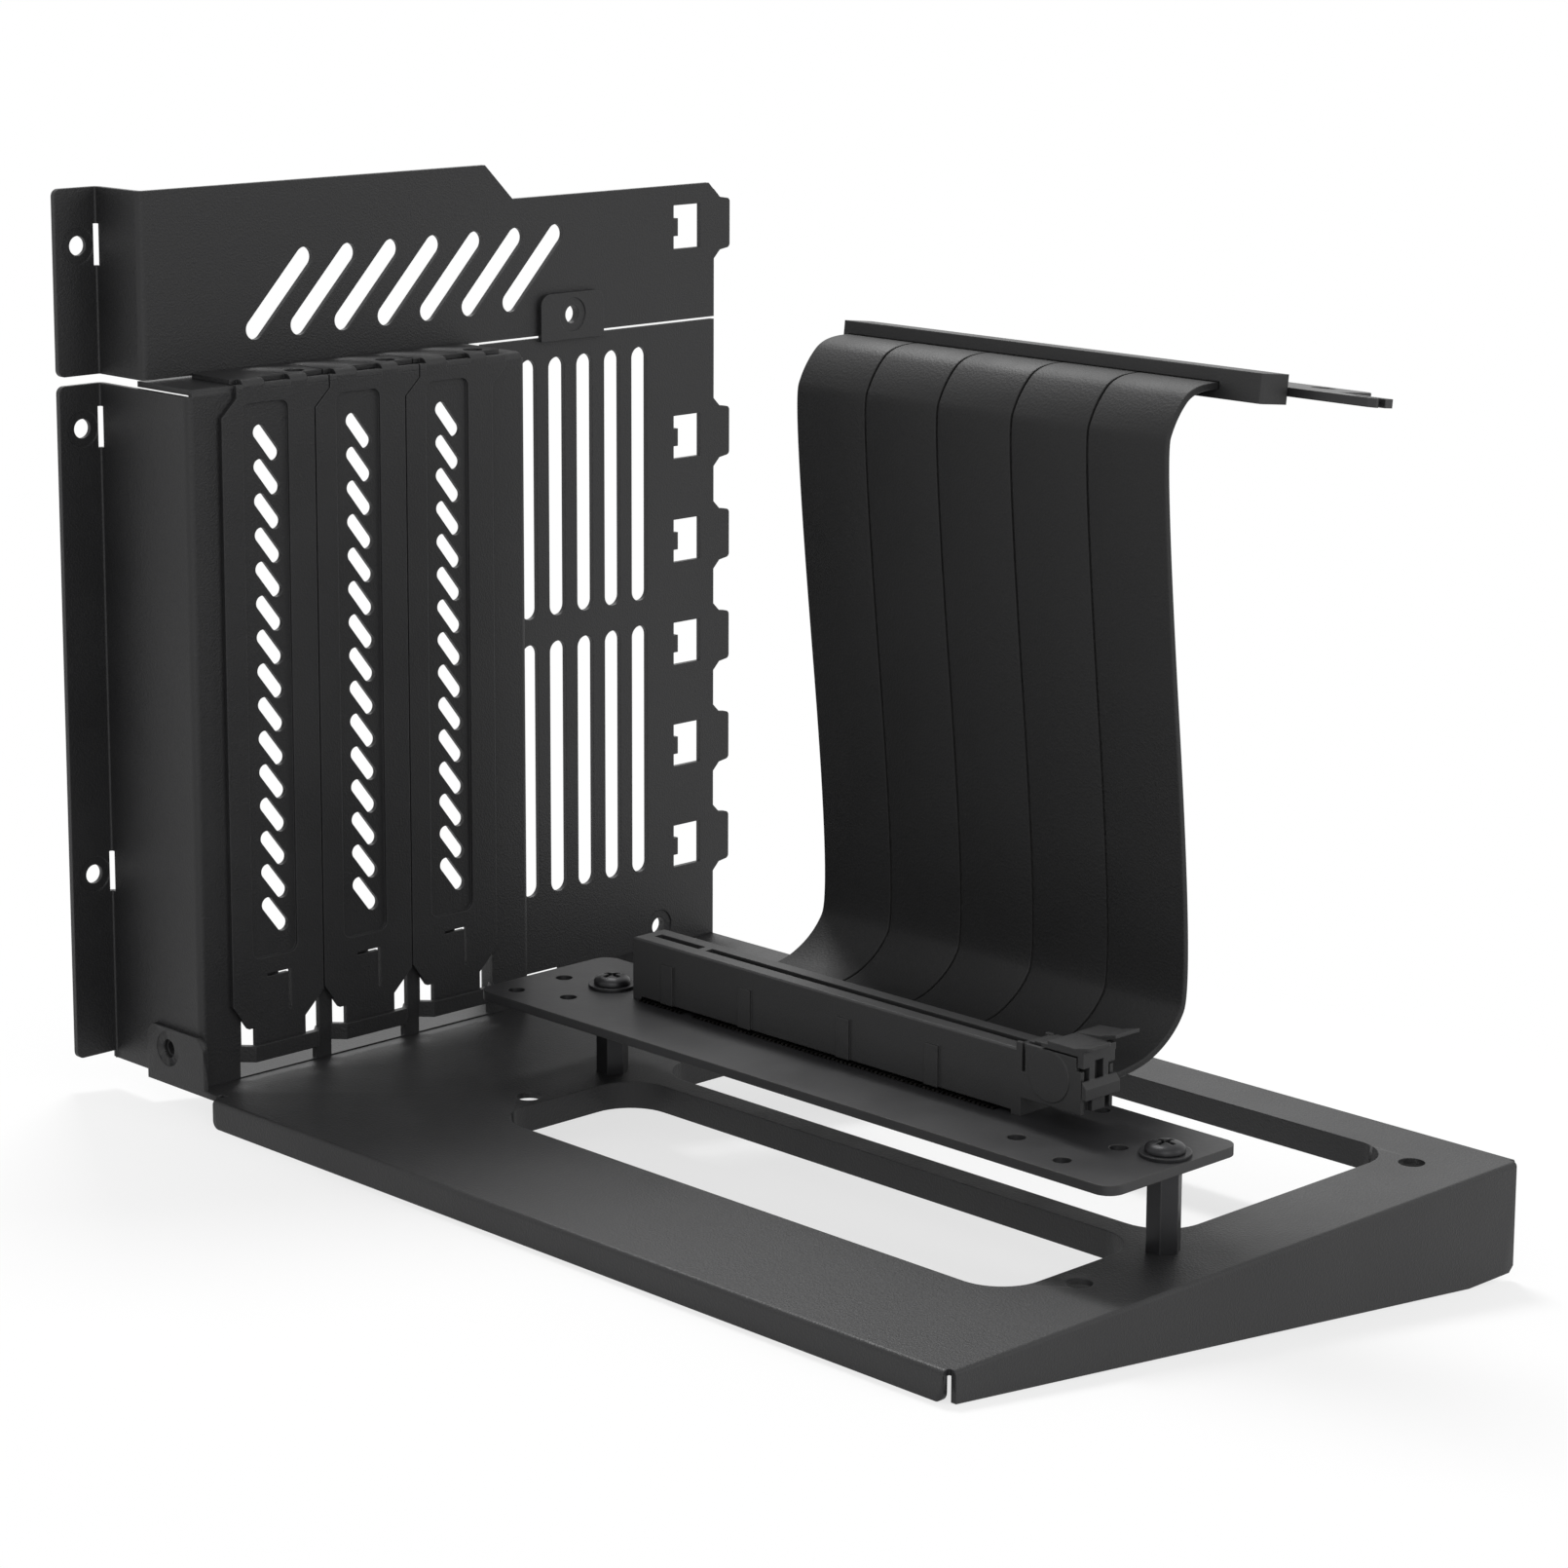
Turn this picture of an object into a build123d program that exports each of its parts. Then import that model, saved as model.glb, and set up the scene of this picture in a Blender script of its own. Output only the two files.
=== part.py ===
from build123d import *
import math
import os

# Vertical graphics card mount. Millimetres, +Z up. X runs from the slotted wall out over the
# base, Y runs along the wall. The origin is the centre of the four base screw holes, on the
# top face of the base plate.

# Sheets
wall_sheet = 1.0
base_sheet = 1.0
bend_radius = 0.8

# Base plate, measured from its rectangle of four screw holes
hole_pitch_x = 127.5
hole_pitch_y = 83.0
base_hole_d = 4.5
left_margin = 57.25
right_margin = 12.0
front_margin = 41.3
back_margin = 14.2
front_lip = 5.0
back_lip = 19.0
corner_slit = 1.4
front_lip_start = 21.3
opening_left = 3.75
opening_right = 4.75
near_opening_front = 29.3
near_opening_width = 33.0
rail_width = 4.9
far_opening_width = 59.7
opening_corner = 8.0
opening_lip = 4.8

# Wall panels
wall_height = 123.0
upper_height = 32.5
panel_gap = 0.5
step_drop = 6.6
step_y = -2.7
joggle_depth = 12.7
flange_width = 8.5
flange_low = 1.4
flange_corner = 1.3
side_top_gap = 1.1
shelf_back = 2.0
wall_length = 135.0
side_to_front = 2.8
slot_row = 75.8

# Case screw holes on the rear flange, each with a slit beside it at the bend
flange_hole_d = 3.4
seat_d = 6.4
seat_depth = 0.2
flange_hole_inset = 3.8
flange_hole_heights = [34.5, 114.2]
upper_flange_hole = 146.0
slit_height = 7.3
slit_front = 0.6
slit_back = 1.0
slit_depth = 0.7

# Card slots and their covers
slot_pitch = 20.32
slot_count = 3
first_cover = 6.4
cover_gap = 0.32
cover_sheet = 0.9
cover_tab = 12.7
tongue_width = 11.05
tongue_side = 4.75
tongue_end = 4.0
shoulder_side = 3.3
shoulder_low = 8.9
shoulder_high = 13.4
right_shoulder_low = 9.0
right_shoulder_high = 13.0
head_shift = 3.25
head_low = 117.8
head_high = 120.9
emboss_width = 9.8
emboss_off = 0.6
emboss_low = 21.3
emboss_high = 119.8
emboss_height = 0.5
emboss_corner = 1.6
vent_count = 15
vent_pitch = 6.0
vent_width = 2.6
vent_off = 0.45
vent_length = 5.1
vent_angle = -52.0
first_vent = 112.6
bracket_hole_d = 3.6
bracket_hole_side = 15.7
bracket_hole_back = 4.2
notch_width = 5.6
notch_depth = 1.9
lug_side = 7.5
lug_width = 5.0
lug_low = 11.3
lug_high = 18.0
lug_cut = 0.5

# Windows and bridges under the covers
aperture_width = 17.4
aperture_side = 2.2
aperture_low = 5.9
aperture_high = 120.2
aperture_slant = 1.7
aperture_slant_height = 3.7
bridge_low = 3.0
window_low = 0.25
window_width = 16.8
window_side = 1.9
bridge_ramp = 1.9
bridge_clearance = 0.1
foot_relief_side = 0.1
foot_relief_length = 18.6
foot_relief_height = 1.0

# Long vents beside the slots, and the diagonal ones above
long_vent_count = 5
long_vent_pitch = 7.0
long_vent_width = 4.0
first_long_vent = 11.6
long_vent_rows = [(16.0, 65.0), (69.9, 119.2)]
diagonal_count = 7
diagonal_pitch = 9.84
diagonal_width = 3.8
diagonal_length = 16.2
diagonal_angle = 46.5
first_diagonal = 29.7
diagonal_height = 136.3

# Edge windows and tabs, one for each slot of the case
edge_centres = [19.5, 39.82, 60.14, 80.46, 100.78]
upper_edge_centre = 141.4
edge_window_width = 7.0
edge_window_height = 8.4
edge_window_inset = 3.6
edge_lug_width = 1.1
edge_lug_height = 3.4
edge_tab_out = 4.2
edge_tab_height = 13.4
edge_tab_slant = 1.6
edge_tab_corner = 0.8

# Screw tabs that join the sheets
top_tab_width = 15.6
top_tab_start = 89.9
top_tab_height = 8.8
tab_corner = 2.2
side_tab_length = 16.4
side_tab_height = 9.3
side_tab_hole_x = 6.0
side_tab_hole = 5.5
side_thread_d = 2.5
side_collar_d = 4.4
side_collar_height = 1.2
side_lip_start = 18.0
back_tab_width = 15.0
back_tab_height = 8.6
back_tab_inset = 14.5
back_tab_hole = 4.1

# Riser board on two hexagonal standoffs
board_thickness = 1.6
board_width = 31.2
board_corner = 3.0
board_front_inset = 43.5
standoff_height = 13.9
standoff_flats = 5.0
left_standoff_out = 1.2
right_standoff_in = 0.85
left_standoff_inset = 15.3
right_standoff_inset = 4.85
standoff_board_depth = 18.5
screw_d = 3.0
screw_clearance = 0.2
thread_clearance = 0.05
screw_head_d = 5.9
screw_head_height = 1.9
washer_d = 8.4
washer_thickness = 0.6
top_screw_length = 9.0
base_screw_length = 6.0
cross_width = 0.9
cross_length = 3.2
cross_depth = 1.1
board_hole_d = 3.0
holes_from_left = [(5.4, 4.7), (5.4, 15.9), (15.1, 8.3)]
holes_from_right = [(26.4, 8.0), (26.4, 28.1), (14.0, 4.8), (12.0, 15.8)]

# Card connector on the board
connector_length = 91.5
connector_width = 7.5
connector_height = 11.1
connector_from_left = 23.25
connector_front = 16.3
connector_lift = 0.7
end_block = 2.0
card_slot_width = 1.8
card_slot_depth = 8.4
card_slot_end = 2.4
key_from_end = 14.4
key_width = 1.7
rib_width = 3.0
rib_height = 7.0
rib_proud = 0.4
rib_places = [8.9, 28.2, 51.8, 72.1]
contact_pitch = 1.0
contact_width = 0.5
contact_thickness = 0.35
contact_count_before_key = 11
contact_count_after_key = 71
contact_spring_rise = 6.6
contact_foot = 0.9

# Latch between two cheeks at the end of the connector
cheek_length = 12.8
cheek_step = 1.1
cheek_step_low = 10.1
cheek_low = 3.1
cheek_high = 12.2
cheek_wall = 0.7
cheek_slit_start = 0.2
cheek_slit_width = 0.7
cheek_slit_low = 7.5
boss_x = 6.0
boss_height = 8.0
boss_d = 8.6
boss_proud = 0.15
lever_gap = 0.8
lever_back = 1.6
lever_front_gap = 0.4
cap_length = 1.2
lever_low = 3.4
lever_high = 12.5
cap_low = 10.7
toe_low = 5.7
toe_high = 7.6
toe_jog = 1.1
toe_out = 0.9
toe_wall = 0.01
toe_side = 0.3
leg_width = 3.0
leg_depth = 1.0
pivot_x = 10.5
pivot_height = 5.5
pivot_pin_d = 1.8
pivot_clearance = 0.3
pin_depth = 0.4
hook_reach = 1.2
hook_low = 11.3
hook_high = 12.3
wing_thickness = 1.0
wing_rise = 1.3
wing_bend = 6.2
near_wing_start = 4.3
near_wing_length = 10.2
near_wing_width = 5.4
far_wing_start = 5.6
far_wing_length = 8.4
far_wing_up = 0.7
far_wing_width = 4.7
far_wing_side = 0.2
wing_corner = 0.8
grip_width = 2.0
grip_depth = 1.5
grip_low = 7.8
grip_high = 11.6

# Ribbon of five flat strips, its route in Y and Z, bottom to top
strip_count = 5
ribbon_width = 85.3
strip_gap = 0.25
ribbon_thickness = 1.2
ribbon_from_body = 0.0
ribbon_route = [
    (-17.0, 13.3),
    (10.0, 13.3),
    (21.5, 17.7),
    (26.5, 26.0),
    (15.9, 116.8),
    (18.8, 123.5),
    (24.0, 128.1),
    (31.45, 127.25),
]

# Plug at the top of the ribbon
plug_length = 96.2
plug_depth = 7.0
plug_height = 5.0
plug_below_ribbon = 2.1
plug_overhang = 1.7
plug_corner = 0.6
plug_board_thickness = 1.5
plug_ribbon_seat = 2.0
plug_board_seat = 3.0
plug_board_reach = 15.0
blade_inset = 2.0
blade_gap = 0.2
blade_corner = 1.5
arm_reach = 17.2
arm_width = 1.3
arm_slot_width = 1.3
arm_slot_length = 5.6
hook_out = 17.6
hook_width = 1.9
blade_side = 6.5
blade_hole_d = 4.2
blade_hole = (-1.5, 10.9)
small_blade_hole_d = 2.2
small_blade_hole = (-16.2, 12.7)
plug_key_from_left = 14.4
plug_key_width = 1.9
plug_key_depth = 6.5

# Places worked out from the sizes above
left_x = -hole_pitch_x / 2 - left_margin
right_x = hole_pitch_x / 2 + right_margin
front_y = -hole_pitch_y / 2 - front_margin
back_y = hole_pitch_y / 2 + back_margin
wall_x = left_x + base_sheet + wall_sheet
side_y = front_y + side_to_front
wall_end_y = side_y + wall_length
slots_end_y = side_y + slot_row
shelf_top = wall_height + 0.1
slots_x = wall_x + joggle_depth
flange_x = wall_x - joggle_depth
upper_low = wall_height + panel_gap
upper_top = upper_low + upper_height
small = 0.01


def facing(x):
    """A sketch plane parallel to the wall at x, with Y to its right and Z up."""
    return Plane(origin=(x, 0, 0), x_dir=(0, 1, 0), z_dir=(1, 0, 0))


def along(y):
    """A sketch plane across the wall at y, with X to its right and Z up."""
    return Plane(origin=(0, y, 0), x_dir=(1, 0, 0), z_dir=(0, -1, 0))


def screw_seats(plane, places):
    """Screw holes in a sheet, each in a shallow coined seat on the plane's side."""
    with BuildSketch(plane) as holes:
        with Locations(*places):
            Circle(flange_hole_d / 2)
    extrude(holes.sketch, amount=-2 * wall_sheet, mode=Mode.SUBTRACT)
    with BuildSketch(plane) as seats:
        with Locations(*places):
            Circle(seat_d / 2)
    extrude(seats.sketch, amount=-seat_depth, mode=Mode.SUBTRACT)


def bend_slits(heights):
    """A slit through the bend beside each screw hole of the rear flange."""
    with BuildSketch(facing(flange_x + slit_depth)) as slits:
        with Locations(*[(side_y + (slit_back - slit_front) / 2, z) for z in heights]):
            Rectangle(slit_front + slit_back, slit_height)
    extrude(slits.sketch, amount=-wall_sheet - slit_depth, mode=Mode.SUBTRACT)


def edge_features(centres, x):
    """Windows along the free edge of a wall panel, each with a small lug left in it."""
    middle = wall_end_y - edge_window_inset - edge_window_width / 2
    lug_y = middle - edge_window_width / 2 + edge_lug_width / 2
    with BuildSketch(facing(x)) as windows:
        with Locations(*[(middle, z) for z in centres]):
            Rectangle(edge_window_width, edge_window_height)
        with Locations(*[(lug_y, z) for z in centres]):
            Rectangle(edge_lug_width, edge_lug_height, mode=Mode.SUBTRACT)
    extrude(windows.sketch, amount=-wall_sheet, mode=Mode.SUBTRACT)


def edge_tabs(centres, x):
    """Trapezium tabs on the free edge of a wall panel, which hook behind the case."""
    for z in centres:
        with BuildSketch(facing(x)) as outline:
            half = edge_tab_height / 2
            flat = half - edge_tab_slant
            out = wall_end_y + edge_tab_out
            with BuildLine():
                Polyline(
                    (wall_end_y - small, z - half),
                    (wall_end_y, z - half),
                    (wall_end_y + edge_tab_slant, z - flat),
                    (out, z - flat + 0.4),
                    (out, z + flat - 0.4),
                    (wall_end_y + edge_tab_slant, z + flat),
                    (wall_end_y, z + half),
                    (wall_end_y - small, z + half),
                    close=True,
                )
            make_face()
            fillet(outline.vertices().group_by(Axis.X)[-1], edge_tab_corner)
        extrude(outline.sketch, amount=-wall_sheet)


# Lower wall: flange, side, slot row and vented wall are one sheet folded along Z
fold_points = [
    (flange_x - wall_sheet / 2, side_y - flange_width),
    (flange_x - wall_sheet / 2, side_y + wall_sheet / 2),
    (slots_x - wall_sheet / 2, side_y + wall_sheet / 2),
    (slots_x - wall_sheet / 2, slots_end_y - wall_sheet / 2),
    (wall_x - wall_sheet / 2, slots_end_y - wall_sheet / 2),
    (wall_x - wall_sheet / 2, wall_end_y),
]
side_top = wall_height - side_top_gap
first_slot_y = side_y + first_cover
slot_starts = [first_slot_y + n * slot_pitch for n in range(slot_count)]
aperture_starts = [y + aperture_side for y in slot_starts]
bridge_out = cover_sheet + bridge_clearance

with BuildPart() as lower_wall:
    with BuildSketch():
        with BuildLine():
            FilletPolyline(*fold_points, radius=bend_radius)
        trace(line_width=wall_sheet)
    extrude(amount=side_top)
    # The rear flange stands clear of the floor and has rounded corners
    with BuildSketch(facing(flange_x)):
        with Locations((side_y - flange_width / 2, flange_low / 2)):
            Rectangle(flange_width, flange_low)
    extrude(amount=-wall_sheet, mode=Mode.SUBTRACT)
    fillet(lower_wall.edges().filter_by(Axis.X).group_by(Axis.Y)[0], flange_corner)
    # The vented wall rises above the side; the slot row is folded back into a shelf
    with BuildSketch(facing(wall_x)):
        with Locations(((slots_end_y + 0.5 + wall_end_y) / 2, (side_top + wall_height) / 2)):
            Rectangle(wall_end_y - slots_end_y - 0.5, side_top_gap)
    extrude(amount=-wall_sheet)
    with BuildSketch(along(side_y + 1.0)):
        with BuildLine():
            FilletPolyline(
                (slots_x - wall_sheet / 2, side_top - bend_radius),
                (slots_x - wall_sheet / 2, shelf_top - wall_sheet / 2),
                (wall_x - wall_sheet - shelf_back, shelf_top - wall_sheet / 2),
                radius=bend_radius,
            )
        trace(line_width=wall_sheet)
    extrude(amount=-(slot_row - 2.0))
    # Card apertures, each with a slanted corner, and a window below the bridge
    with BuildSketch(facing(slots_x)):
        for y in aperture_starts:
            with BuildLine():
                Polyline(
                    (y, aperture_low),
                    (y + aperture_width, aperture_low),
                    (y + aperture_width, aperture_high),
                    (y + aperture_slant, aperture_high),
                    (y, aperture_high - aperture_slant_height),
                    close=True,
                )
            make_face()
        for y in slot_starts:
            with Locations((y + window_side + window_width / 2, (window_low + bridge_low) / 2)):
                Rectangle(window_width, bridge_low - window_low)
        for y in aperture_starts:
            with Locations((y + aperture_width / 2, (bridge_low + aperture_low + small) / 2)):
                Rectangle(aperture_width, aperture_low + small - bridge_low)
    extrude(amount=-wall_sheet, mode=Mode.SUBTRACT)
    # A bridge pressed forward under each aperture for the cover's tongue
    for start in aperture_starts:
        end = start + aperture_width
        with BuildSketch(Plane.XY.offset(bridge_low)):
            with BuildLine():
                Polyline(
                    (slots_x - wall_sheet / 2, start - wall_sheet / 2),
                    (slots_x - wall_sheet / 2, start),
                    (slots_x + bridge_out + wall_sheet / 2, start + bridge_ramp),
                    (slots_x + bridge_out + wall_sheet / 2, end - bridge_ramp),
                    (slots_x - wall_sheet / 2, end),
                    (slots_x - wall_sheet / 2, end + wall_sheet / 2),
                )
            trace(line_width=wall_sheet)
        extrude(amount=aperture_low - bridge_low)
    # Threaded holes in the shelf under the covers' screw holes
    for n in range(slot_count):
        head_y = first_slot_y + n * slot_pitch + head_shift
        with BuildSketch(Plane.XY.offset(shelf_top)):
            with Locations((slots_x + cover_sheet - bracket_hole_back, head_y + bracket_hole_side)):
                Circle(bracket_hole_d / 2)
        extrude(amount=-wall_sheet, mode=Mode.SUBTRACT)
    # Long upright vents
    with BuildSketch(facing(wall_x)):
        for n in range(long_vent_count):
            vent_y = slots_end_y + first_long_vent + n * long_vent_pitch
            for low, high in long_vent_rows:
                with Locations((vent_y, (low + high) / 2)):
                    SlotOverall(high - low, long_vent_width, rotation=90)
    extrude(amount=-wall_sheet, mode=Mode.SUBTRACT)
    # Screw tab that steps forward and laps the upper panel
    with BuildSketch(facing(wall_x + wall_sheet)) as tab_outline:
        with Locations((side_y + top_tab_start + top_tab_width / 2, wall_height - 0.6 + top_tab_height / 2)):
            Rectangle(top_tab_width, top_tab_height)
        fillet(tab_outline.vertices().group_by(Axis.Y)[-1], tab_corner)
    extrude(amount=-wall_sheet)
    with BuildSketch(facing(wall_x)):
        with Locations((side_y + top_tab_start + top_tab_width / 2, wall_height - 0.5)):
            Rectangle(top_tab_width, 1.0)
    extrude(amount=small)
    screw_seats(
        facing(wall_x + wall_sheet),
        [(side_y + top_tab_start + top_tab_width / 2, wall_height + 4.0)],
    )
    edge_features(edge_centres, wall_x)
    edge_tabs(edge_centres, wall_x)
    # Relief in the foot of the wall beside the slots
    with BuildSketch(facing(wall_x)):
        with Locations((slots_end_y + foot_relief_side + foot_relief_length / 2, foot_relief_height / 2)):
            Rectangle(foot_relief_length, foot_relief_height)
    extrude(amount=-wall_sheet, mode=Mode.SUBTRACT)
    # Screw holes: two in the flange, one over each of the base's two tabs
    hole_y = side_y - flange_hole_inset
    screw_seats(facing(flange_x), [(hole_y, z) for z in flange_hole_heights])
    bend_slits(flange_hole_heights)
    screw_seats(facing(wall_x), [(wall_end_y - back_tab_inset, back_tab_hole)])
    # Threaded collar drawn inwards behind the base's front tab
    with BuildSketch(along(side_y + wall_sheet)):
        with Locations((left_x + side_tab_hole_x, side_tab_hole)):
            Circle(side_collar_d / 2)
    extrude(amount=-side_collar_height)
    with BuildSketch(along(side_y)):
        with Locations((left_x + side_tab_hole_x, side_tab_hole)):
            Circle(side_thread_d / 2)
    extrude(amount=-wall_sheet - side_collar_height, mode=Mode.SUBTRACT)
lower_wall.part.label = "lower_wall"

# Upper wall: the panel with its step back and rear flange is one folded sheet
with BuildPart() as upper_wall:
    with BuildSketch(Plane.XY.offset(upper_low)):
        with BuildLine():
            FilletPolyline(
                (flange_x - wall_sheet / 2, side_y - flange_width),
                (flange_x - wall_sheet / 2, side_y + wall_sheet / 2),
                (wall_x - wall_sheet / 2, side_y + wall_sheet / 2),
                (wall_x - wall_sheet / 2, wall_end_y),
                radius=bend_radius,
            )
        trace(line_width=wall_sheet)
    extrude(amount=upper_height)
    fillet(upper_wall.edges().filter_by(Axis.X).group_by(Axis.Y)[0], flange_corner)
    # The top edge steps down on a slant towards the free end
    with BuildSketch(facing(wall_x)):
        with BuildLine():
            Polyline(
                (step_y, upper_top + 1),
                (step_y, upper_top),
                (step_y + step_drop, upper_top - step_drop),
                (wall_end_y - 1.4, upper_top - step_drop),
                (wall_end_y + 1, upper_top - step_drop - 2.4),
                (wall_end_y + 1, upper_top + 1),
                close=True,
            )
        make_face()
    extrude(amount=-wall_sheet, mode=Mode.SUBTRACT)
    with BuildSketch(facing(wall_x)):
        for n in range(diagonal_count):
            with Locations((side_y + first_diagonal + n * diagonal_pitch, diagonal_height)):
                SlotCenterToCenter(diagonal_length, diagonal_width, rotation=diagonal_angle)
    extrude(amount=-wall_sheet, mode=Mode.SUBTRACT)
    edge_features([upper_edge_centre], wall_x)
    edge_tabs([upper_edge_centre], wall_x)
    screw_seats(facing(flange_x), [(side_y - flange_hole_inset, upper_flange_hole)])
    bend_slits([upper_flange_hole])
    with BuildSketch(facing(wall_x)):
        with Locations((side_y + top_tab_start + top_tab_width / 2, wall_height + 4.0)):
            Circle(flange_hole_d / 2)
    extrude(amount=-wall_sheet, mode=Mode.SUBTRACT)
upper_wall.part.label = "upper_wall"

# Slot cover, built at the first slot: face with offset head, and a tab bent back over the shelf
cover_width = slot_pitch - cover_gap
cover_x = slots_x + cover_sheet
cover_top = shelf_top + cover_sheet
head_y = first_slot_y + head_shift
tongue_y = first_slot_y + tongue_side
emboss_y = first_slot_y + cover_width / 2 - emboss_off
emboss_z = (emboss_low + emboss_high) / 2

with BuildPart() as slot_cover:
    with BuildSketch(facing(cover_x)) as face_outline:
        with BuildLine():
            Polyline(
                (tongue_y, tongue_end),
                (tongue_y, shoulder_low),
                (first_slot_y + shoulder_side, shoulder_low),
                (first_slot_y, shoulder_high),
                (first_slot_y, head_low),
                (head_y, head_high),
                (head_y + cover_width, head_high),
                (first_slot_y + cover_width, head_low),
                (first_slot_y + cover_width, right_shoulder_high),
                (tongue_y + tongue_width, right_shoulder_low),
                (tongue_y + tongue_width, tongue_end),
                close=True,
            )
        make_face()
        fillet(face_outline.vertices().group_by(Axis.Y)[0], 0.8)
    extrude(amount=-cover_sheet)
    with BuildSketch(along(head_y)):
        with BuildLine():
            FilletPolyline(
                (cover_x - cover_sheet / 2, head_high),
                (cover_x - cover_sheet / 2, cover_top - cover_sheet / 2),
                (cover_x - cover_tab, cover_top - cover_sheet / 2),
                radius=bend_radius,
            )
        trace(line_width=cover_sheet)
    extrude(amount=-cover_width)
    # Shallow tray pressed into the face
    with BuildSketch(facing(cover_x)):
        with Locations((emboss_y, emboss_z)):
            RectangleRounded(emboss_width, emboss_high - emboss_low, emboss_corner)
    extrude(amount=-emboss_height, mode=Mode.SUBTRACT)
    with BuildSketch(facing(slots_x)):
        with Locations((emboss_y, emboss_z)):
            RectangleRounded(emboss_width + 0.8, emboss_high - emboss_low + 0.6, emboss_corner + 0.3)
    extrude(amount=-emboss_height)
    # Diagonal air slots in the tray
    with BuildSketch(facing(cover_x)):
        for n in range(vent_count):
            with Locations((emboss_y + vent_off, first_vent - n * vent_pitch)):
                SlotOverall(vent_length + vent_width, vent_width, rotation=vent_angle)
    extrude(amount=-3 * cover_sheet, mode=Mode.SUBTRACT)
    # Notches at the bend, and the hole for the bracket screw
    with BuildSketch(facing(cover_x)):
        with Locations((head_y + 6.1 + notch_width / 2, cover_top - notch_depth / 2)):
            Rectangle(notch_width, notch_depth)
        with Locations((head_y + 0.7, cover_top - notch_depth / 2)):
            Rectangle(1.4, notch_depth)
        with Locations((head_y + cover_width - 2.3, cover_top - notch_depth / 2)):
            Rectangle(4.6, notch_depth)
    extrude(amount=-notch_depth, mode=Mode.SUBTRACT)
    with BuildSketch(Plane.XY.offset(cover_top)):
        with Locations((cover_x - bracket_hole_back, head_y + bracket_hole_side)):
            Circle(bracket_hole_d / 2)
    extrude(amount=-cover_sheet, mode=Mode.SUBTRACT)
    # Slits that free a small spring lug above the tongue
    lug_y = first_slot_y + lug_side
    with BuildSketch(facing(cover_x)):
        with Locations((lug_y + lug_width / 2, lug_high)):
            Rectangle(lug_width, lug_cut)
        with Locations((lug_y + lug_width, (lug_low + lug_high) / 2)):
            Rectangle(lug_cut, lug_high - lug_low + lug_cut)
    extrude(amount=-cover_sheet, mode=Mode.SUBTRACT)

slot_covers = [Pos(0, n * slot_pitch, 0) * slot_cover.part for n in range(slot_count)]
for n in range(slot_count):
    slot_covers[n].label = "slot_cover_" + str(n + 1)

# Base plate: flanges turned down all round, two openings with drawn edges, tabs turned up
lip_x = left_x + front_lip_start
tab_edge_y = side_y - base_sheet
opening_x = (opening_left - opening_right) / 2
opening_length = hole_pitch_x - opening_left - opening_right
near_y = front_y + near_opening_front + near_opening_width / 2
far_y = front_y + near_opening_front + near_opening_width + rail_width + far_opening_width / 2
openings = [(near_y, near_opening_width), (far_y, far_opening_width)]
back_tab_y = wall_end_y - back_tab_inset
board_front = front_y + board_front_inset
standoff_y = board_front + standoff_board_depth
left_standoff_x = -hole_pitch_x / 2 - left_standoff_out
right_standoff_x = hole_pitch_x / 2 - right_standoff_in
standoffs_xy = [(left_standoff_x, standoff_y), (right_standoff_x, standoff_y)]
board_left = left_standoff_x - left_standoff_inset
board_right = right_standoff_x + right_standoff_inset
board_length = board_right - board_left

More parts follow.
